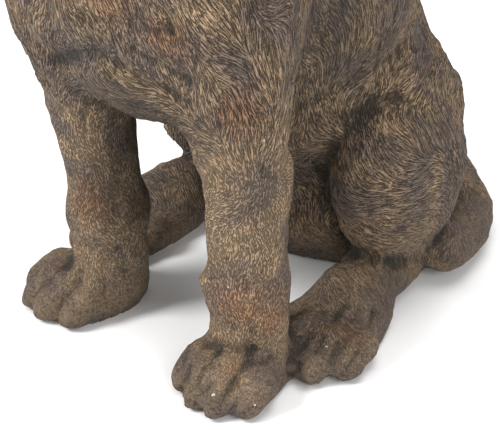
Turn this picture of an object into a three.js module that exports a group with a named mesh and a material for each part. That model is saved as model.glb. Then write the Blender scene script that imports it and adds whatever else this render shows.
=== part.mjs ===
// Seated dog, a garden statue cast in one piece of stone composite.
// The dog faces -Y, its left side is +X, and it sits on the ground at z = 0 with its front legs upright,
// its hind feet flat and its tail curled forward round the left haunch.
// The figure is modelled as blended masses: each muscle, bone, toe and fold is a simple rounded form with
// a distance function, neighbours are merged with a soft fillet, and creases are carved out of them.
// The merged surface is then meshed, and thinned where it is smooth.

import * as THREE from "three";
import { edgeTable, triTable } from "three/addons/objects/MarchingCubes.js";

// Driving dimensions, in millimetres.
const statueHeight = 660; // ground to the crown of the head
const surfaceStep = statueHeight / 150; // spacing of the samples that the surface is first meshed on
const triangleBudget = 9600; // triangles left once smooth areas are thinned

// All positions and radii below are in hundredths of the statue's height.
const unit = statueHeight / 100;

// Distance functions

// A rounded mass with three radii, turned by degrees about X, then Y, then Z.
function mass(centre, radii, turn = [0, 0, 0]) {
  const [cx, cy, cz] = centre;
  const [rx, ry, rz] = radii;
  const angles = turn.map(THREE.MathUtils.degToRad);
  const back = new THREE.Matrix4().makeRotationFromEuler(new THREE.Euler(...angles, "ZYX")).transpose();
  const m = back.elements;
  const distance = (x, y, z) => {
    const dx = x - cx;
    const dy = y - cy;
    const dz = z - cz;
    const u = (m[0] * dx + m[4] * dy + m[8] * dz) / rx;
    const v = (m[1] * dx + m[5] * dy + m[9] * dz) / ry;
    const w = (m[2] * dx + m[6] * dy + m[10] * dz) / rz;
    const near = Math.sqrt(u * u + v * v + w * w);
    const slope = Math.sqrt((u / rx) ** 2 + (v / ry) ** 2 + (w / rz) ** 2);
    return slope < 1e-9 ? -Math.min(rx, ry, rz) : (near * (near - 1)) / slope;
  };
  return { distance, centre, reach: Math.max(rx, ry, rz) };
}

// A round cone from joint a to joint b, with a radius at each.
function limb(a, b, ra, rb) {
  const [ax, ay, az] = a;
  const bx = b[0] - ax;
  const by = b[1] - ay;
  const bz = b[2] - az;
  const l2 = bx * bx + by * by + bz * bz;
  const rr = ra - rb;
  const a2 = l2 - rr * rr;
  const il2 = 1 / l2;
  const distance = (x, y, z) => {
    const px = x - ax;
    const py = y - ay;
    const pz = z - az;
    const along = px * bx + py * by + pz * bz;
    const beyond = along - l2;
    const qx = px * l2 - bx * along;
    const qy = py * l2 - by * along;
    const qz = pz * l2 - bz * along;
    const x2 = qx * qx + qy * qy + qz * qz;
    const y2 = along * along * l2;
    const z2 = beyond * beyond * l2;
    const k = Math.sign(rr) * rr * rr * x2;
    if (Math.sign(beyond) * a2 * z2 > k) return Math.sqrt(x2 + z2) * il2 - rb;
    if (Math.sign(along) * a2 * y2 < k) return Math.sqrt(x2 + y2) * il2 - ra;
    return (Math.sqrt(x2 * a2 * il2) + along * rr) * il2 - ra;
  };
  const centre = [ax + bx / 2, ay + by / 2, az + bz / 2];
  return { distance, centre, reach: Math.sqrt(l2) / 2 + Math.max(ra, rb) };
}

// The centre and radius of a sphere round some shapes.
function sphereRound(shapes) {
  const box = new THREE.Box3();
  for (const { centre, reach } of shapes) {
    box.union(new THREE.Box3(
      new THREE.Vector3(...centre).subScalar(reach), new THREE.Vector3(...centre).addScalar(reach)));
  }
  const middle = box.getCenter(new THREE.Vector3());
  const reaches = shapes.map((shape) => middle.distanceTo(new THREE.Vector3(...shape.centre)) + shape.reach);
  const reach = Math.max(...reaches);
  return { centre: middle.toArray(), reach };
}

// The least distance from a point to anything in the shape.
function clearance({ centre, reach }, x, y, z) {
  return Math.sqrt((x - centre[0]) ** 2 + (y - centre[1]) ** 2 + (z - centre[2]) ** 2) - reach;
}

// Shapes merged with a fillet of the given width between neighbours.
function merge(fillet, ...shapes) {
  const distance = (x, y, z) => {
    let best = Infinity;
    for (const shape of shapes) {
      const least = clearance(shape, x, y, z);
      if (least > best + fillet) continue;
      const d = Math.max(shape.distance(x, y, z), least);
      const overlap = Math.max(fillet - Math.abs(best - d), 0);
      best = best === Infinity ? d : Math.min(best, d) - (overlap * overlap) / fillet / 4;
    }
    return best;
  };
  return { distance, ...sphereRound(shapes) };
}

// Shapes joined with no fillet.
function join(...shapes) {
  const distance = (x, y, z) => {
    let best = Infinity;
    for (const shape of shapes) {
      if (clearance(shape, x, y, z) < best) best = Math.min(best, shape.distance(x, y, z));
    }
    return best;
  };
  return { distance, ...sphereRound(shapes) };
}

// A form with tools carved out of it, the edges softened by the given width.
function carve(form, softness, ...tools) {
  const distance = (x, y, z) => {
    let d = form.distance(x, y, z);
    for (const tool of tools) {
      if (clearance(tool, x, y, z) > softness - d) continue;
      const cut = -tool.distance(x, y, z);
      const overlap = Math.max(softness - Math.abs(d - cut), 0);
      d = Math.max(d, cut) + (overlap * overlap) / softness / 4;
    }
    return d;
  };
  return { distance, centre: form.centre, reach: form.reach };
}

// A limb of changing thickness along a smooth path through [x, y, z, radius] stations.
function chain(...stations) {
  const path = new THREE.CatmullRomCurve3(stations.map(([x, y, z]) => new THREE.Vector3(x, y, z)));
  const girth = new THREE.SplineCurve(stations.map((station, i) => new THREE.Vector2(i, station[3])));
  const steps = 4 * (stations.length - 1);
  const points = path.getPoints(steps);
  const radii = girth.getPoints(steps).map((point) => point.y);
  const links = points.slice(1).map((point, i) =>
    limb(points[i].toArray(), point.toArray(), radii[i], radii[i + 1]),
  );
  return join(...links);
}

// A thin groove along a row of points.
function groove(width, ...points) {
  return chain(...points.map((point) => [...point, width / 2]));
}

// A flat-soled paw: a pad, four toes side by side with claws, and the creases between them.
// The heel is the point below the ankle, heading is in degrees from -Y towards +X.
function paw({ heel, heading, width, length, height }) {
  const turn = THREE.MathUtils.degToRad(heading);
  const place = (side, ahead, up) => [
    heel[0] + side * Math.cos(turn) + ahead * Math.sin(turn),
    heel[1] + side * Math.sin(turn) - ahead * Math.cos(turn),
    up,
  ];
  const toeRadius = width * 0.152;
  const toes = [-1.5, -0.5, 0.5, 1.5].map((rank) => {
    const outer = Math.abs(rank) > 1;
    const side = (rank * width) / 4.3;
    const tip = length * (outer ? 0.82 : 1) - toeRadius;
    const rise = height * (outer ? 0.8 : 0.92);
    const root = place(side * 0.75, tip * 0.3, rise * 0.62);
    const knuckle = place(side * 0.98, tip * 0.68, rise - toeRadius * 1.1);
    const end = place(side * 1.03, tip, toeRadius * 0.95);
    const claw = place(side * 1.05, tip + toeRadius * 0.92, toeRadius * 0.62);
    return merge(
      toeRadius * 0.5,
      limb(root, knuckle, toeRadius * 0.85, toeRadius * 1.12),
      limb(knuckle, end, toeRadius * 1.12, toeRadius * 1.02),
      limb(end, claw, toeRadius * 0.5, toeRadius * 0.28),
    );
  });
  const padReach = length * 0.42;
  const pad = merge(
    width * 0.2,
    mass(place(0, length * 0.34, height * 0.2), [width * 0.46, padReach, height * 0.66], [0, 0, heading]),
    mass(place(0, -length * 0.02, height * 0.3), [width * 0.42, padReach, height * 0.8], [0, 0, heading]),
  );
  return merge(width * 0.07, merge(width * 0.03, ...toes), pad);
}

// The dog

// Front leg: upper arm, forearm, wrist with its bulge, and paw.
function frontLeg(side, { shoulder, elbow, wrist, heel, heading, width }) {
  const [wx, wy] = wrist;
  const leg = chain(
    [...shoulder, 6.8],
    [...elbow, 5.5],
    [(elbow[0] + 2 * wx) / 3, (elbow[1] + 2 * wy) / 3, 22, 4.7],
    [wx, wy, 14.6, 5.1],
    [wx, wy, 9.5, 4.8],
    [wx, wy, 5, 5],
  );
  const wristBones = mass([wx - side * 0.4, wy - 0.8, 14.6], [4.8, 4.8, 3.4]);
  const tendon = limb([wx + side * 1.2, wy + 3.6, 30], [wx + side * 0.4, wy + 3.6, 15], 1.9, 1.4);
  const heelPad = mass([wx + side * 0.4, wy + 4.3, 12.4], [2.2, 1.9, 2.6]);
  const dewclaw = mass([wx - side * 4.8, wy - 0.2, 9.8], [1.2, 1.7, 2.3], [20, 0, 0]);
  const foot = paw({ heel, heading, width, length: 11.2, height: 6.6 });
  return merge(1.6, merge(2, leg, wristBones, tendon, heelPad), dewclaw, foot);
}

// Hind leg: thigh with the knee in front, shin folded under it, hock and the long flat foot.
function hindLeg(side, { thigh, knee, hock, foot, heading }) {
  const turn = THREE.MathUtils.degToRad(heading);
  const instep = [foot[0] - 3 * Math.sin(turn), foot[1] + 3 * Math.cos(turn), 3.2];
  const upper = merge(4, mass(thigh, [8, 11, 12.4], [-12, 0, side * 6]), mass(knee, [5.6, 7.2, 8]));
  const shin = limb([knee[0], knee[1] + 1, knee[2] - 8], [hock[0], hock[1], hock[2] + 2], 4.6, 4.2);
  const metatarsus = limb(hock, instep, 4.3, 4.5);
  const toes = paw({ heel: foot, heading, width: 14, length: 15, height: 6.2 });
  return merge(1.4, upper, merge(2.2, shin, metatarsus, toes));
}

const middle = -3; // the body sits a little to the right of the front paws
const inPair = (shapeOf) => [-1, 1].map(shapeOf);
const across = (side, offset) => middle + side * offset;

const trunk = merge(
  8,
  mass([middle + 1, 7.5, 9], [15, 14, 13]),
  mass([middle + 0.5, 4.5, 25], [16, 15.5, 16], [-12, 0, 0]),
  mass([middle + 0.4, -3.8, 42], [17.6, 18, 21], [-24, 0, 0]),
);
const ribcage = mass([middle - 0.5, -18, 50], [15.5, 17, 18], [-10, 0, 0]);
const bib = mass([middle - 1, -28.5, 51], [14, 11.5, 17]);
const brisket = mass([middle - 2, -21.5, 40], [10.5, 11.5, 11]);
const shoulders = inPair((side) =>
  mass([-3.8 + side * 12.2, -28, 48], [7.6, 9.2, 14.5], [0, side * 4, 0]),
);
const haunches = inPair((side) => mass([across(side, 13), 6, 18], [8.4, 11, 13.5], [-18, 0, 0]));
const seat = inPair((side) => mass([across(side, 9.2), 9, 6], [8.6, 11.6, 8]));
const tailCushion = mass([middle + 11.5, 12.4, 3.4], [5.6, 6.6, 4.8]);
const flankFolds = inPair((side) =>
  limb([across(side, 12), 0, 26], [across(side, 8), -10, 27.5], 7.6, 5.8),
);
const belly = merge(
  6,
  limb([middle, -14.5, 36], [middle, 0.5, 16], 11.4, 11.4),
  mass([middle + 1, 1, 7], [14, 8, 9]),
);

const neck = chain([middle, -9, 60, 13.6], [middle, -14, 71, 11.4], [middle, -17.5, 82, 10]);
const throat = limb([middle, -27, 59], [middle, -25.5, 73], 10, 7.2);

const skull = merge(
  4,
  mass([middle, -19, 89], [11, 12.4, 11]),
  mass([middle, -26.5, 88.5], [8.8, 7, 7]),
  ...inPair((side) => mass([across(side, 7.2), -22, 82], [5.4, 7.6, 6.8])),
  ...inPair((side) => mass([across(side, 4.8), -29.4, 92.4], [3.8, 3, 2.4], [0, side * 14, 0])),
);
const muzzle = merge(
  2.5,
  limb([middle, -30, 84.2], [middle, -42, 83.2], 7, 5.4),
  ...inPair((side) => mass([across(side, 3.5), -38.4, 79.8], [3.9, 8.2, 5.4], [0, 0, -side * 4])),
);
const nose = mass([middle, -46.2, 85.6], [3.7, 2.7, 2.9]);
const jaw = limb([middle, -27, 76.8], [middle, -41, 75.8], 5, 3.6);
const ears = inPair((side) =>
  merge(
    2,
    mass([across(side, 9.8), -17, 94.2], [3.4, 4.8, 2.4], [0, side * 36, 0]),
    mass([across(side, 12.4), -19, 89], [2, 5.8, 7.8], [6, -side * 10, 0]),
    mass([across(side, 13.2), -20.5, 82], [1.8, 4, 5], [12, -side * 4, 0]),
  ),
);
const sockets = inPair((side) =>
  mass([across(side, 5.8), -32.4, 88.8], [2.7, 2.1, 2.1], [0, 0, side * 30]),
);
const eyes = inPair((side) => mass([across(side, 5.4), -31, 88.8], [2, 1.8, 1.8]));
const nostrils = inPair((side) => mass([across(side, 2), -48.6, 85.4], [1, 1.3, 0.9]));
const mouth = inPair((side) =>
  groove(
    1,
    [middle, -47, 78.6],
    [across(side, 4), -46, 77.4],
    [across(side, 7.4), -39, 75.2],
    [across(side, 7), -31, 77],
  ),
);
const lipSplit = groove(0.9, [middle, -49, 83], [middle, -47.6, 78.6]);
const face = carve(merge(2, skull, merge(0.8, muzzle, nose), jaw), 1.2, ...sockets);
const head = merge(0.6, carve(merge(1.4, face, ...ears), 0.8, ...nostrils, ...mouth, lipSplit), ...eyes);

const tail = chain(
  [middle, 19.5, 5.5, 4.8],
  [4, 22.6, 4.6, 4.3],
  [10, 20.8, 3.8, 3.9],
  [16, 16.3, 3.6, 3.6],
  [19, 10.8, 3.5, 3.3],
  [19.8, 4.4, 4.8, 3.5],
);

const torso = merge(
  3,
  merge(6, trunk, ribcage, bib, ...shoulders, merge(6, neck, throat)),
  brisket,
  ...haunches,
  ...seat,
  tailCushion,
  ...flankFolds,
  belly,
);

// Soft valleys between the folds of skin that run across the chest towards the left leg.
const chestFolds = [
  groove(
    4.6,
    [-11.9, -38.2, 39.3],
    [-5.2, -41.2, 44.1],
    [-0.9, -41.3, 45.4],
    [5.5, -39.6, 42.4],
    [9, -38.6, 41.6],
  ),
  groove(4, [0.5, -41.3, 48.9], [3.4, -40.7, 47.6], [9.9, -39.1, 44.9]),
  groove(3.6, [-2.7, -41.9, 50.7], [0.7, -41.2, 52.2], [7.8, -39.8, 51.4]),
];

const forequarters = merge(
  2.2,
  carve(torso, 2.4, ...chestFolds),
  frontLeg(-1, {
    shoulder: [-14, -28, 44],
    elbow: [-14.2, -28, 31],
    wrist: [-11.9, -27.8],
    heel: [-13.5, -26.7],
    heading: -22,
    width: 13.2,
  }),
  frontLeg(1, {
    shoulder: [10.4, -29, 44],
    elbow: [11.4, -29, 32],
    wrist: [12.5, -29.2],
    heel: [12.6, -29],
    heading: 3,
    width: 12.8,
  }),
  head,
);
const dog = merge(
  1.2,
  forequarters,
  hindLeg(-1, {
    thigh: [-18.4, 6, 16.5],
    knee: [-18.8, -2, 22],
    hock: [-16, 6, 4],
    foot: [-19.4, -8.4],
    heading: -9,
  }),
  hindLeg(1, {
    thigh: [14, 1.8, 16],
    knee: [15.8, -5.8, 20],
    hock: [14.6, 3, 4],
    foot: [16, -13],
    heading: 10,
  }),
);
const figure = merge(0.8, dog, tail);

// Meshing

// Samples the distance on a grid, skipping blocks that the surface can't reach, and joins the crossings
// with the marching cubes tables. The lowest layer of samples lies just under the ground and counts as
// outside, which closes the form with a flat face at z = 0.
function meshOf(distance, low, high, step) {
  const blockCells = 6;
  const blocks = high.map((h, i) => Math.ceil((h - low[i]) / step / blockCells));
  const size = blocks.map((n) => n * blockCells + 1);
  const place = (index, axis) => low[axis] + (axis === 2 ? Math.max(index - 1, 0) : index) * step;
  const at = (i, j, k) => i + size[0] * (j + size[1] * k);
  const values = new Float32Array(size[0] * size[1] * size[2]).fill(NaN);
  const blockReach = (Math.sqrt(3) / 2) * blockCells * step * 1.6;
  const sample = (i, j, k) => {
    const n = at(i, j, k);
    if (Number.isNaN(values[n])) {
      values[n] = k === 0 ? 1 : distance(place(i, 0), place(j, 1), place(k, 2)) || 1e-6;
    }
    return values[n];
  };
  const corners = [
    [0, 0, 0], [1, 0, 0], [1, 1, 0], [0, 1, 0],
    [0, 0, 1], [1, 0, 1], [1, 1, 1], [0, 1, 1],
  ];
  const edges = [
    [0, 1], [1, 2], [2, 3], [3, 0],
    [4, 5], [5, 6], [6, 7], [7, 4],
    [0, 4], [1, 5], [2, 6], [3, 7],
  ];
  const vertices = [];
  const triangles = [];
  const found = new Map();
  const crossing = (i, j, k, edge) => {
    const [a, b] = edges[edge].map((c) => [i + corners[c][0], j + corners[c][1], k + corners[c][2]]);
    const na = at(...a);
    const nb = at(...b);
    const key = Math.min(na, nb) * 3 + (a[0] !== b[0] ? 0 : a[1] !== b[1] ? 1 : 2);
    if (!found.has(key)) {
      const share = THREE.MathUtils.clamp(values[na] / (values[na] - values[nb]), 0.04, 0.96);
      found.set(key, vertices.length / 3);
      const start = a.map((n, axis) => place(n, axis));
      const end = b.map((n, axis) => place(n, axis));
      vertices.push(...start.map((value, axis) => value + share * (end[axis] - value)));
    }
    return found.get(key);
  };
  const meshCell = (i, j, k) => {
    let index = 0;
    corners.forEach(([a, b, c], n) => {
      if (sample(i + a, j + b, k + c) < 0) index |= 1 << n;
    });
    if (!edgeTable[index]) return;
    for (let t = index * 16; triTable[t] !== -1; t += 3) {
      triangles.push(...[t, t + 2, t + 1].map((n) => crossing(i, j, k, triTable[n])));
    }
  };
  for (let bk = 0; bk < blocks[2]; bk++) {
    for (let bj = 0; bj < blocks[1]; bj++) {
      for (let bi = 0; bi < blocks[0]; bi++) {
        const middle = [bi, bj, bk].map((b, axis) => place((b + 0.5) * blockCells, axis));
        if (Math.abs(distance(...middle)) > blockReach) continue;
        for (let n = 0; n < blockCells ** 3; n++) {
          meshCell(
            bi * blockCells + (n % blockCells),
            bj * blockCells + (Math.floor(n / blockCells) % blockCells),
            bk * blockCells + Math.floor(n / blockCells ** 2),
          );
        }
      }
    }
  }
  return { vertices, triangles };
}

// Quadric error of a vertex: how far a point lies from the planes of the faces around it.
// Ten numbers each, the upper half of a symmetric 4 x 4 matrix.
function vertexQuadrics(vertices, triangles) {
  const quadrics = new Float64Array((vertices.length / 3) * 10);
  const [a, b, c, normal] = Array.from({ length: 4 }, () => new THREE.Vector3());
  for (let t = 0; t < triangles.length; t += 3) {
    [a, b, c].forEach((corner, n) => corner.fromArray(vertices, triangles[t + n] * 3));
    normal.crossVectors(b.sub(a), c.sub(a));
    const area = normal.length();
    if (area === 0) continue;
    normal.divideScalar(area);
    const plane = [normal.x, normal.y, normal.z, -normal.dot(a)];
    for (let n = 0; n < 3; n++) {
      let slot = triangles[t + n] * 10;
      for (let i = 0; i < 4; i++) {
        for (let j = i; j < 4; j++) quadrics[slot++] += area * plane[i] * plane[j];
      }
    }
  }
  return quadrics;
}

// Where two vertices are best merged, and the error that costs. The ground face stays at z = 0.
function mergedPlace(vertices, quadrics, a, b) {
  const q = Array.from({ length: 10 }, (_, n) => quadrics[a * 10 + n] + quadrics[b * 10 + n]);
  const error = (x, y, z) =>
    x * (q[0] * x + 2 * (q[1] * y + q[2] * z + q[3])) + y * (q[4] * y + 2 * (q[5] * z + q[6])) +
    z * (q[7] * z + 2 * q[8]) + q[9];
  const ends = [a, b].map((v) => [vertices[v * 3], vertices[v * 3 + 1], vertices[v * 3 + 2]]);
  const grounded = ends.filter((end) => end[2] === 0);
  const half = ends[0].map((value, axis) => (value + ends[1][axis]) / 2);
  const places = grounded.length === 1 ? grounded : [...ends, half];
  if (grounded.length === 0) {
    const cofactors = [
      q[4] * q[7] - q[5] * q[5], q[2] * q[5] - q[1] * q[7], q[1] * q[5] - q[2] * q[4],
      q[0] * q[7] - q[2] * q[2], q[1] * q[2] - q[0] * q[5], q[0] * q[4] - q[1] * q[1],
    ];
    const determinant = q[0] * cofactors[0] + q[1] * cofactors[1] + q[2] * cofactors[2];
    const best = [
      -(cofactors[0] * q[3] + cofactors[1] * q[6] + cofactors[2] * q[8]) / determinant,
      -(cofactors[1] * q[3] + cofactors[3] * q[6] + cofactors[4] * q[8]) / determinant,
      -(cofactors[2] * q[3] + cofactors[4] * q[6] + cofactors[5] * q[8]) / determinant,
    ];
    const span = Math.hypot(...ends[0].map((value, axis) => value - ends[1][axis]));
    const away = Math.hypot(...half.map((value, axis) => value - best[axis]));
    if (away < span && best[2] > 0.2) places.push(best);
  }
  const costs = places.map((place) => error(...place));
  const cheapest = costs.indexOf(Math.min(...costs));
  return { place: places[cheapest], cost: costs[cheapest] };
}

// Merges neighbouring vertices, the least visible first, until the triangles fit the budget.
function thinned({ vertices, triangles }, budget) {
  const quadrics = vertexQuadrics(vertices, triangles);
  const count = vertices.length / 3;
  const [p, q, r, before, after] = Array.from({ length: 5 }, () => new THREE.Vector3());
  let faces = triangles;
  while (faces.length / 3 > budget) {
    const rings = Array.from({ length: count }, () => []);
    faces.forEach((vertex, n) => rings[vertex].push(n - (n % 3)));
    const neighbours = (v) => new Set(rings[v].flatMap((f) => [faces[f], faces[f + 1], faces[f + 2]]));
    const edges = [];
    faces.forEach((a, n) => {
      const b = faces[n % 3 === 2 ? n - 2 : n + 1];
      if (a < b) edges.push({ a, b, ...mergedPlace(vertices, quadrics, a, b) });
    });
    edges.sort((one, other) => one.cost - other.cost);
    edges.length = Math.ceil(edges.length / 3);

    // A face that keeps its corners apart from the moved one must not turn over or fold to a sliver.
    const staysSound = (moved, other, place) =>
      rings[moved].every((f) => {
        const corners = [faces[f], faces[f + 1], faces[f + 2]];
        if (corners.includes(other)) return true;
        const normalOf = (target, positionOf) => {
          [p, q, r].forEach((corner, n) => corner.fromArray(...positionOf(corners[n])));
          return target.crossVectors(q.sub(p), r.sub(p));
        };
        normalOf(before, (v) => [vertices, v * 3]);
        normalOf(after, (v) => (v === moved ? [place] : [vertices, v * 3]));
        const longest = Math.max(q.lengthSq(), r.lengthSq(), q.distanceToSquared(r));
        const turned = after.dot(before) <= 0.35 * after.length() * before.length();
        const sliver = after.length() <= 0.03 * longest;
        return !turned && !sliver;
      });

    const settled = new Uint8Array(count);
    let left = faces.length / 3;
    for (const { a, b, place } of edges) {
      if (left <= budget) break;
      if (settled[a] || settled[b]) continue;
      const around = neighbours(a);
      const shared = [...neighbours(b)].filter((v) => around.has(v));
      if (shared.length !== 4 || !staysSound(a, b, place) || !staysSound(b, a, place)) continue;
      for (const v of [...around, ...neighbours(b)]) settled[v] = 1;
      place.forEach((value, axis) => {
        vertices[a * 3 + axis] = value;
      });
      for (let n = 0; n < 10; n++) quadrics[a * 10 + n] += quadrics[b * 10 + n];
      for (const f of rings[b]) {
        for (let n = f; n < f + 3; n++) if (faces[n] === b) faces[n] = a;
      }
      left -= 2;
    }
    const whole = (f) => new Set(faces.slice(f, f + 3)).size === 3;
    faces = faces.filter((_, n) => whole(n - (n % 3)));
  }
  return { vertices, triangles: faces };
}

// The surface as a geometry in millimetres, with only the vertices in use.
function geometryOf({ vertices, triangles }) {
  const kept = [...new Set(triangles)];
  const place = new Map(kept.map((vertex, n) => [vertex, n]));
  const positions = kept.flatMap((v) => [0, 1, 2].map((axis) => vertices[v * 3 + axis] * unit));
  const geometry = new THREE.BufferGeometry();
  geometry.setAttribute("position", new THREE.Float32BufferAttribute(positions, 3));
  geometry.setIndex(triangles.map((v) => place.get(v)));
  geometry.computeVertexNormals();
  return geometry;
}

const fine = meshOf(figure.distance, [-34, -50, 0], [28, 30, 102], surfaceStep / unit);
const surface = geometryOf(thinned(fine, triangleBudget));

// The origin is on the ground below the middle of the figure's extent.
surface.computeBoundingBox();
const centre = surface.boundingBox.getCenter(new THREE.Vector3());
surface.translate(-centre.x, -centre.y, 0);

const stone = new THREE.MeshStandardMaterial({ color: 0x5c5046, roughness: 0.85, metalness: 0 });
const castDog = new THREE.Mesh(surface, stone);
castDog.name = "seated_dog";

const statue = new THREE.Group();
statue.name = "dog_garden_statue";
statue.add(castDog);

export default statue;
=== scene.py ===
"""The looks of a seated dog cast in stone: carved coat, worn patina, floor, light and camera."""

import math

import bpy
import numpy as np
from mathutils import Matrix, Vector


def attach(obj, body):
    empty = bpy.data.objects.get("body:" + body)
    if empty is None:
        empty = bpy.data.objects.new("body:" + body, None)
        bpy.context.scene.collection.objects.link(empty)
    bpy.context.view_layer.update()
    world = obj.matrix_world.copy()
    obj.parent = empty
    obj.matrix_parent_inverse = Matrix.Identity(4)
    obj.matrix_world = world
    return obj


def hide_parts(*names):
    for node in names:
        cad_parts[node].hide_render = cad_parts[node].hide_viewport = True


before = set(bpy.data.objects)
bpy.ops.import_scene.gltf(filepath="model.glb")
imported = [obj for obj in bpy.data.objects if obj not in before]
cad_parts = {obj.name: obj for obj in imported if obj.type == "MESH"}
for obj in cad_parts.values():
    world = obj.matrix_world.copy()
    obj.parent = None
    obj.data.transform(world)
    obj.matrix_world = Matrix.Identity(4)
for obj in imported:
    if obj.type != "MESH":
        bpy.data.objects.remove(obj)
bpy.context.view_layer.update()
bpy.ops.object.select_all(action="DESELECT")
rng = np.random.default_rng(7)


# The casting. It starts as a copy of the solid, remeshed finely enough to carry carving,
# and eased just enough that the solid's facets go while its creases stay.
VOXEL = 0.0035
EASING_ROUNDS = 5

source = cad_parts["seated_dog"]
dog = bpy.data.objects.new("dog_casting", source.data.copy())
bpy.context.scene.collection.objects.link(dog)
bpy.context.view_layer.objects.active = dog
dog.select_set(True)
bpy.ops.object.mode_set(mode="EDIT")
bpy.ops.mesh.select_all(action="SELECT")
bpy.ops.mesh.remove_doubles(threshold=0.00002)
bpy.ops.mesh.normals_make_consistent(inside=False)
bpy.ops.object.mode_set(mode="OBJECT")
remesh = dog.modifiers.new("fine_skin", "REMESH")
remesh.mode = "VOXEL"
remesh.voxel_size = VOXEL
bpy.ops.object.modifier_apply(modifier=remesh.name)

mesh = dog.data
count = len(mesh.vertices)
places = np.empty(count * 3, np.float32)
mesh.vertices.foreach_get("co", places)
places = places.reshape(-1, 3).astype(float)
pairs = np.empty(len(mesh.edges) * 2, np.int32)
mesh.edges.foreach_get("vertices", pairs)
pairs = pairs.reshape(-1, 2)
pairs = np.concatenate([pairs, pairs[:, ::-1]])
pairs = pairs[np.argsort(pairs[:, 0], kind="stable")]
owner, neighbour = pairs[:, 0], pairs[:, 1]
first_pair = np.searchsorted(owner, np.arange(count))
degree = np.bincount(owner, minlength=count)


def spread(values, rounds):
    """Evens a value over the skin: each round is half the vertex and half its neighbours."""
    shape = (-1,) + (1,) * (values.ndim - 1)
    for _ in range(rounds):
        near = np.add.reduceat(values[neighbour], first_pair, axis=0) / degree.reshape(shape)
        values = 0.5 * (values + near)
    return values


def scaled(values):
    """Brings a value to a mean of 0 and a spread of 1."""
    return (values - values.mean()) / values.std()


def from_line(points):
    """Distance of every vertex to a line through points given in millimetres."""
    line = np.array(points, float) / 1000
    best = np.full(count, 1e9)
    for a, b in zip(line[:-1], line[1:]):
        share = np.clip((places - a) @ (b - a) / ((b - a) @ (b - a)), 0, 1)
        best = np.minimum(best, np.linalg.norm(places - a - share[:, None] * (b - a), axis=1))
    return best


def near_to(point, reach):
    """1 at a point given in millimetres, falling off over reach millimetres."""
    gap = np.linalg.norm(places - np.array(point, float) / 1000, axis=1)
    return np.exp(-((gap / (reach / 1000)) ** 2))


underside = places[:, 2] < 0.4 * VOXEL
eased = spread(places, EASING_ROUNDS)
places = eased + spread(places - eased, EASING_ROUNDS)
places[underside, 2] = 0
mesh.vertices.foreach_set("co", places.astype(np.float32).ravel())
mesh.update()
normals = np.empty(count * 3, np.float32)
mesh.vertex_normals.foreach_get("vector", normals)
normals = normals.reshape(-1, 3).astype(float)


# Which way the coat lies. Each lock is a place in millimetres and a direction there; the coat
# between them blends, and away from them it runs backward over the head and down the body.
CHEST_LOCKS = [
    (3, -185, 330, 0.48, 0.15, -0.86),
    (46, -177, 348, 0.68, 0.16, -0.71),
    (85, -167, 348, 0.74, 0.29, -0.61),
    (110, -140, 345, 0.31, 0.37, -0.87),
    (-52, -183, 303, -0.20, 0.33, -0.92),
    (0, -183, 307, -0.25, 0.13, -0.96),
    (42, -175, 305, 0.40, 0.23, -0.89),
    (86, -169, 317, 0.47, 0.26, -0.84),
    (113, -144, 315, 0.22, 0.08, -0.97),
    (-77, -151, 227, -0.40, 0.19, -0.90),
    (-11, -174, 265, 0.95, 0.14, -0.27),
    (6, -159, 246, 0.88, 0.37, -0.31),
    (49, -161, 253, 0.85, -0.30, 0.44),
    (84, -167, 281, 0.06, 0.14, -0.99),
    (104, -157, 284, 0.02, 0.09, -1.00),
]
SIDE_LOCKS = [
    (97, -48, 304, -0.05, -0.06, -1.00),
    (102, 1, 277, -0.01, 0.01, -1.00),
    (82, -25, 226, -0.09, 0.30, -0.95),
    (101, 90, 240, 0.09, -0.39, -0.92),
    (106, 0, 166, 0.59, -0.48, -0.65),
    (110, -12, 140, 0.89, -0.14, -0.44),
    (129, -9, 126, 0.75, 0.54, -0.38),
    (147, 15, 145, 0.44, 0.68, -0.59),
    (151, 28, 106, 0.26, 0.87, -0.42),
    (156, 56, 128, 0.06, 0.96, -0.27),
    (142, 82, 161, 0.50, 0.14, -0.86),
    (126, 43, 183, 0.82, -0.28, -0.50),
    (106, 14, 179, 0.18, -0.77, -0.62),
    (118, 100, 184, 0.38, -0.90, -0.22),
]
HEAD_LOCKS = [
    (0, -240, 560, 0.0, 1.0, 0.2),
    (0, -150, 640, 0.0, 1.0, 0.0),
    (60, -150, 590, 0.3, 0.6, -0.7),
    (0, -60, 560, 0.0, 0.5, -0.9),
    (95, -110, 560, 0.2, 0.1, -1.0),
]
BODY_CENTRE_X = -9.3

coat = np.zeros((count, 3))
coat[:, 2] = -0.02
LOCK_SETS = ((CHEST_LOCKS, 26, False), (SIDE_LOCKS, 28, True), (HEAD_LOCKS, 60, True))
for locks, reach, mirrored in LOCK_SETS:
    for x, y, z, dx, dy, dz in locks:
        coat += near_to((x, y, z), reach)[:, None] * np.array([dx, dy, dz])
        if mirrored:
            across = 2 * BODY_CENTRE_X - x
            coat += near_to((across, y, z), reach)[:, None] * np.array([-dx, dy, dz])
wander = scaled(spread(rng.standard_normal((count, 3)), 60))
coat /= np.linalg.norm(coat, axis=1)[:, None]
coat = spread(coat + 0.35 * wander, 6)
coat -= normals * np.sum(coat * normals, axis=1)[:, None]
coat /= np.linalg.norm(coat, axis=1)[:, None] + 1e-9

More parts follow.
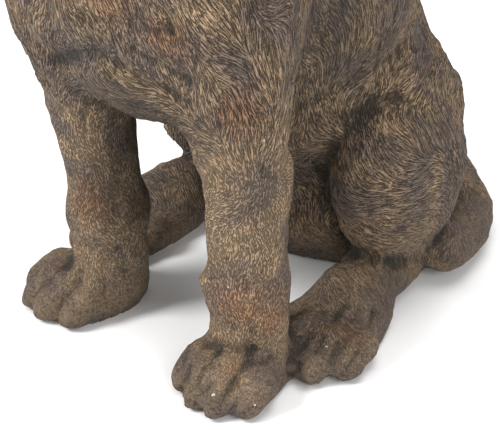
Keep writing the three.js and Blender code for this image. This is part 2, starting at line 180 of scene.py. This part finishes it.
# Where the stone is smoother: paws, the feet of the hind legs, the tail, nose and the underside.
bare = np.clip(1.3 - places[:, 2] / 0.05, 0, 1)
bare = np.maximum(bare, near_to((-9, -250, 566), 26))
for side in (-1, 1):
    bare = np.maximum(bare, near_to((BODY_CENTRE_X + side * 37, -143, 586), 11))
bare = np.maximum(bare, near_to((165, 135, 40), 60) * (places[:, 2] < 0.1))
bare = np.maximum(bare, near_to((165, 60, 60), 45) * 0.6)
bare = spread(np.clip(bare, 0, 1), 6)
in_leg = np.clip((0.26 - places[:, 2]) / 0.05, 0, 1) * np.clip((-0.07 - places[:, 1]) / 0.03, 0, 1)


def along_coat(values, rounds):
    """Draws a value out into streaks that follow the coat."""
    step = places[neighbour] - places[owner]
    step /= np.linalg.norm(step, axis=1)[:, None] + 1e-12
    pull = np.abs(np.sum(step * coat[owner], axis=1)) ** 10
    total = np.add.reduceat(pull, first_pair) + 0.6
    for _ in range(rounds):
        drawn = np.add.reduceat(pull * values[neighbour], first_pair)
        values = (0.6 * values + drawn) / total
    return values


tufts = scaled(along_coat(rng.standard_normal(count), 5))
locks_wide = scaled(along_coat(spread(rng.standard_normal(count), 4), 10))
lumps = scaled(spread(rng.standard_normal(count), 45))
pits = scaled(spread(rng.standard_normal(count), 2))
knots = scaled(spread(rng.standard_normal(count), 14))

relief = 0.00034 * tufts * (1 - 0.8 * bare) * (1 - 0.4 * in_leg)
relief += 0.00055 * locks_wide * (1 - 0.7 * bare) * (1 - 0.5 * in_leg)
relief += 0.0007 * lumps + 0.0001 * pits
relief += 0.0007 * knots * np.clip(in_leg + bare, 0, 1) * np.clip(places[:, 2] / 0.03, 0.3, 1)

# Creases and ridges of the carving: a line in millimetres, its half width and its height.
CARVED_LINES = [
    ([(-73, -161, 256), (-31, -177, 286), (0, -181, 296), (22, -176, 288), (65, -166, 272)], 9, -4.0),
    ([(26, -179, 309), (49, -174, 301), (73, -169, 293)], 8, -3.2),
    ([(-10, -188, 327), (25, -182, 330), (60, -175, 333)], 8, -2.4),
    ([(-110, -152, 262), (-104, -151, 237), (-80, -149, 216), (-54, -136, 210)], 2.8, 1.6),
    ([(79, -21, 210), (97, 10, 227), (103, 73, 227)], 9, -2.6),
    ([(90, -10, 190), (98, 11, 190), (109, 45, 199), (115, 59, 193)], 6, -2.6),
    ([(106, 118, 197), (134, 102, 169), (150, 99, 136), (152, 102, 120)], 2.8, 1.2),
    ([(57, -151, 33), (61, -168, 27), (69, -182, 6)], 4.0, -3.4),
    ([(89, -158, 43), (87, -177, 32), (92, -193, 8)], 4.0, -3.8),
    ([(116, -142, 48), (116, -169, 33), (116, -187, 16)], 4.0, -3.6),
    ([(131, -37, 40), (141, -88, 32), (143, -109, 5)], 4.0, -4.0),
    ([(150, -19, 31), (170, -79, 23), (166, -89, 8)], 4.0, -4.0),
    ([(67, -147, 100), (92, -153, 96), (118, -148, 104)], 6.0, 1.6),
    ([(70, -140, 66), (95, -150, 72), (122, -138, 62)], 5.0, -1.4),
    ([(-9, -243, 546), (-9, -233, 521)], 2.8, -2.4),
]
CARVED_PAIRS = [
    ([(-9, -233, 521), (15, -228, 513), (27, -212, 508), (33, -190, 507), (33, -150, 508)], 3.6, -3.8),
    ([(-9, -236, 587), (12, -237, 578), (17, -238, 563), (6, -243, 549), (-9, -247, 545)], 3.0, -2.2),
    ([(-1, -247, 562), (3, -244, 565)], 3.4, -3.4),
]
for points, width, height in CARVED_PAIRS:
    mirrored = [(2 * BODY_CENTRE_X - x, y, z) for x, y, z in points]
    CARVED_LINES += [(points, width, height), (mirrored, width, height)]
for points, width, height in CARVED_LINES:
    relief += height / 1000 * np.exp(-((from_line(points) / (width / 1000)) ** 2))

# Blunt claws on the toes: an oval rim sunk round a low nail.
CLAWS = [(152, -104, 18), (131, -111, 18), (168, -89, 14), (107, -190, 15), (79, -190, 15), (128, -181, 14)]
for point in CLAWS:
    gap = np.linalg.norm((places - np.array(point) / 1000) * (1.0, 1.0, 0.8), axis=1) * 1000
    relief += 0.0010 * np.exp(-((gap / 3.0) ** 2)) - 0.0014 * np.exp(-(((gap - 5.5) / 1.7) ** 2))

# The paws and the face are cut more crisply than the body.
crisp = np.maximum(np.clip(1.7 - places[:, 2] / 0.04, 0, 1), near_to((-9, -190, 565), 75) * 1.4)
crisp = np.maximum(crisp, near_to((141, 97, 32), 40))
relief += np.sum((places - spread(places, 9)) * normals, axis=1) * crisp * 1.1

# Calm open eyes: a low ball in a sunk rim, with a lid above it.
for side in (-1, 1):
    eye = np.array([BODY_CENTRE_X + side * 33.5, -146, 586]) / 1000
    gap = np.linalg.norm((places - eye) * (0.85, 0.6, 1.1), axis=1) * 1000
    above = np.clip((places[:, 2] - eye[2]) / 0.006, 0, 1)
    relief += 0.0034 * np.exp(-((gap / 6.0) ** 2)) - 0.0014 * np.exp(-(((gap - 9.0) / 2.2) ** 2))
    relief += 0.0022 * above * np.exp(-(((gap - 12.5) / 2.6) ** 2))

clear_of_ground = np.clip((places[:, 2] - 0.001) / 0.006, 0, 1)
places += normals * (relief * clear_of_ground)[:, None]
places[:, 2] = np.maximum(places[:, 2], 0)
places[underside, 2] = 0
mesh.vertices.foreach_set("co", places.astype(np.float32).ravel())
mesh.update()


# What the finish reads: how deep a vertex lies in the carving, at a fine and a broad scale. The finish
# paints the fine depth as shade in creases, and the broad depth as shade together with dark patina in the
# valleys.
near_depth = np.sum((spread(places, 5) - places) * normals, axis=1)
broad_depth = np.sum((spread(places, 40) - places) * normals, axis=1)
chips = np.zeros(count)
CHIPS = [(107, -185, 24), (112, -188, 20), (137, -169, 18), (99, -156, 110), (172, -52, 14),
         (147, -84, 30), (124, -122, 280), (120, -134, 244)]
for point in CHIPS:
    chips = np.maximum(chips, near_to(point, 2.6))
rusty = np.maximum.reduce([near_to(p, r) for p, r in (
    ((110, -150, 90), 26), ((125, -130, 75), 22), ((155, -60, 42), 20), ((112, -165, 42), 16),
    ((60, -177, 330), 22), ((110, -150, 270), 26), ((175, 70, 60), 24), ((10, -180, 345), 22),
    ((-60, -140, 120), 25), ((-100, -150, 60), 22))])


def keep_value(name, values):
    """Stores one number a vertex for the finish to read."""
    layer = mesh.attributes.new(name, "FLOAT", "POINT")
    layer.data.foreach_set("value", values.astype(np.float32))


keep_value("hollow", np.clip(near_depth / 0.0005, -1, 1))
keep_value("shade", np.clip(broad_depth / 0.003, -1, 1))
keep_value("bare", bare)
keep_value("leg", in_leg)
keep_value("lock", np.clip(0.5 + 0.2 * locks_wide, 0, 1))
keep_value("chip", chips)
keep_value("rust", rusty)
# Painted shade under the chest, under the belly and between the legs; on the flanks, painted shade together
# with a darker patina.
flank_shade_and_patina = np.maximum(near_to((95, -20, 290), 60), near_to((-115, -20, 290), 60))
painted_inner_shade = near_to((0, -60, 170), 90) + near_to((-30, -110, 130), 45) + near_to((20, -150, 238), 42)
keep_value("painted_shade_and_patina", np.clip(flank_shade_and_patina * 0.6 + painted_inner_shade, 0, 1))
layer = mesh.attributes.new("coat", "FLOAT_VECTOR", "POINT")
reach = (1 - 0.7 * bare) * (1 - 0.65 * in_leg)
layer.data.foreach_set("vector", (coat * reach[:, None]).astype(np.float32).ravel())
bpy.ops.object.shade_smooth()


# The finish. Sockets wrapped so that shader maths reads as maths.
stone = bpy.data.materials.new("cast_stone")
stone.use_nodes = True
tree = stone.node_tree
shader = tree.nodes["Principled BSDF"]


def node(kind, inputs, output=0, **settings):
    """Makes one node, links or sets its inputs, and gives back one of its outputs."""
    made = tree.nodes.new(kind)
    for name, value in settings.items():
        setattr(made, name, value)
    for key, value in inputs.items():
        if isinstance(value, Wire):
            tree.links.new(value.socket, made.inputs[key])
        else:
            made.inputs[key].default_value = value
    return Wire(made.outputs[output])


class Wire:
    """A shader value that can be added, multiplied and so on."""

    def __init__(self, socket):
        self.socket = socket

    def _maths(self, operation, other):
        if self.socket.type == "VECTOR" and operation != "SCALE":
            return node("ShaderNodeVectorMath", {0: self, 1: other}, operation=operation)
        return node("ShaderNodeMath", {0: self, 1: other}, operation=operation)

    def __add__(self, other):
        return self._maths("ADD", other)

    def __sub__(self, other):
        return self._maths("SUBTRACT", other)

    def __mul__(self, other):
        return self._maths("MULTIPLY", other)

    def scaled_by(self, factor):
        return node("ShaderNodeVectorMath", {0: self, "Scale": factor}, operation="SCALE")

    def ramp(self, low, high):
        """0 below low, 1 above high, eased between."""
        inputs = {"Value": self, "From Min": low, "From Max": high}
        return node("ShaderNodeMapRange", inputs, interpolation_type="SMOOTHSTEP")


def attribute(name, output="Fac"):
    return node("ShaderNodeAttribute", {}, output, attribute_name=name)


def noise(place, scale, detail=1.0, roughness=0.5):
    inputs = {"Vector": place, "Scale": scale, "Detail": detail, "Roughness": roughness}
    return node("ShaderNodeTexNoise", inputs, "Fac")


def colour(red, green, blue):
    """A colour written in screen values from 0 to 255, made linear."""
    return tuple(((c / 255 + 0.055) / 1.055) ** 2.4 for c in (red, green, blue)) + (1.0,)


def mixed(factor, a, b):
    inputs = {0: factor, 6: a, 7: b}
    return node("ShaderNodeMix", inputs, 2, data_type="RGBA")


RECESS = colour(26, 22, 18)
RAISED = colour(166, 139, 109)
MAUVE = colour(128, 110, 98)
OLIVE = colour(120, 108, 82)
RUST = colour(158, 112, 78)
GREEN_DARK = colour(40, 38, 31)
SOLE = colour(86, 76, 67)
CHALK = colour(205, 197, 184)
STROKE_STEP = 0.0008
STROKE_SAMPLES = 9

place = node("ShaderNodeTexCoord", {}, "Object")
lay = attribute("coat", "Vector")
strokes = None
for index in range(STROKE_SAMPLES):
    offset = (index - STROKE_SAMPLES // 2) * STROKE_STEP
    sample = noise(place + lay.scaled_by(offset), 980.0, 0.0)
    strokes = sample if strokes is None else strokes + sample
strokes = (strokes * (1 / STROKE_SAMPLES)).ramp(0.43, 0.57)
grain = noise(place, 900.0, 2.0)
patches = noise(place, 22.0, 3.0)
blotches = noise(place, 75.0, 3.0, 0.6)
bare_mask = attribute("bare")
hollow = attribute("hollow")
shade = attribute("shade")

body_tone = mixed(patches.ramp(0.40, 0.62), RAISED, MAUVE)
body_tone = mixed(blotches.ramp(0.52, 0.70) * 0.55, body_tone, OLIVE)
rust_mask = (attribute("rust") * 0.68 + patches * 0.9 + blotches * 0.8).ramp(0.95, 1.6)
body_tone = mixed(rust_mask * 0.65, body_tone, RUST)
body_tone = mixed(bare_mask * 0.62, body_tone, SOLE)
stroke_depth = node("ShaderNodeMapRange", {"Value": bare_mask, "To Min": 1.0, "To Max": 0.4})
# Painted shade: the furrows between the coat's strokes are painted near black as the shade in them, on top
# of the bump that carves them.
covered = mixed(strokes, RECESS, body_tone)
leg_calm = node("ShaderNodeMapRange", {"Value": attribute("leg"), "To Min": 0.9, "To Max": 0.68})
tone = mixed(stroke_depth * leg_calm, body_tone, covered)
# Painted shade: the fine creases of the carving, round the eyes, the mouth and between the toes, are
# darkened toward the recess colour.
tone = mixed(hollow.ramp(0.0, 1.0) * 0.4, tone, RECESS)
# Broad valleys darkened green-black: partly the dark patina the stone holds there, partly painted shade in
# deep folds such as between belly and thigh.
tone = mixed(shade.ramp(0.0, 1.1) * 0.75, tone, GREEN_DARK)
# Painted shade under the body and between the legs, and on the flanks painted shade mixed with darker
# patina.
tone = mixed(attribute("painted_shade_and_patina") * 0.55, tone, GREEN_DARK)
mottle = (noise(place, 320.0, 2.0, 0.7).ramp(0.46, 0.68)) * (bare_mask * 0.5 + 0.12)
tone = mixed(mottle, tone, RECESS)
tone = mixed(grain.ramp(0.52, 0.66) * 0.25, tone, RECESS)
chalk_mask = (attribute("chip") + blotches * 0.5).ramp(0.80, 0.90)
tone = mixed(chalk_mask, tone, CHALK)
tree.links.new(tone.socket, shader.inputs["Base Color"])

rough = node("ShaderNodeMapRange", {"Value": strokes, "To Min": 0.92, "To Max": 0.74})
tree.links.new(rough.socket, shader.inputs["Roughness"])
shader.inputs["Specular IOR Level"].default_value = 0.35

height = strokes * stroke_depth + grain * 0.22 + blotches * 0.35
bump = node("ShaderNodeBump", {"Strength": 1.0, "Distance": 0.0020, "Height": height}, "Normal")
tree.links.new(bump.socket, shader.inputs["Normal"])

mesh.materials.clear()
mesh.materials.append(stone)
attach(dog, "root")
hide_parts("seated_dog")


# The floor: one wide plain pale sheet.
bpy.ops.mesh.primitive_plane_add(size=40, location=(0, 0, 0))
floor = bpy.context.active_object
floor.name = "floor"
floor_paint = bpy.data.materials.new("pale_floor")
floor_paint.use_nodes = True
floor_shader = floor_paint.node_tree.nodes["Principled BSDF"]
floor_shader.inputs["Base Color"].default_value = (0.93, 0.93, 0.93, 1)
floor_shader.inputs["Roughness"].default_value = 0.7
floor.data.materials.append(floor_paint)


# The light: a bright even studio, a broad lamp high in front and to the left of the picture,
# and a weaker one from the right.
def lamp(name, place, aim, size, power):
    data = bpy.data.lights.new(name, "AREA")
    data.shape = "DISK"
    data.size = size
    data.energy = power
    made = bpy.data.objects.new(name, data)
    bpy.context.scene.collection.objects.link(made)
    made.location = place
    made.rotation_mode = "QUATERNION"
    made.rotation_quaternion = (Vector(aim) - Vector(place)).to_track_quat("-Z", "Y")


lamp("key", (-1.5, -2.2, 2.6), (0, 0, 0.2), 1.4, 130)
lamp("fill", (2.6, -1.0, 1.6), (0, 0, 0.2), 2.0, 48)
lamp("top", (0.2, 0.4, 3.6), (0, 0, 0.0), 2.6, 84)
world = bpy.data.worlds.new("studio")
world.use_nodes = True
world.node_tree.nodes["Background"].inputs["Color"].default_value = (1, 1, 1, 1)
world.node_tree.nodes["Background"].inputs["Strength"].default_value = 0.42
bpy.context.scene.world = world


# The camera, at the picture's own angle: 38 degrees round to the dog's left and 33 degrees up.
AZIMUTH, ELEVATION, DISTANCE = math.radians(38), math.radians(33), 1.79982
AIM = Vector((-0.05624, 0.07267, 0.0))
back = Vector((math.sin(AZIMUTH) * math.cos(ELEVATION),
               -math.cos(AZIMUTH) * math.cos(ELEVATION), math.sin(ELEVATION)))
lens = bpy.data.cameras.new("camera")
lens.lens = 136.44
lens.clip_start, lens.clip_end = 0.05, 100
camera = bpy.data.objects.new("camera", lens)
bpy.context.scene.collection.objects.link(camera)
camera.location = AIM + back * DISTANCE
camera.rotation_mode = "QUATERNION"
camera.rotation_quaternion = (-back).to_track_quat("-Z", "Y")
bpy.context.scene.camera = camera
bpy.context.scene.view_settings.view_transform = "Standard"

bpy.context.view_layer.update()
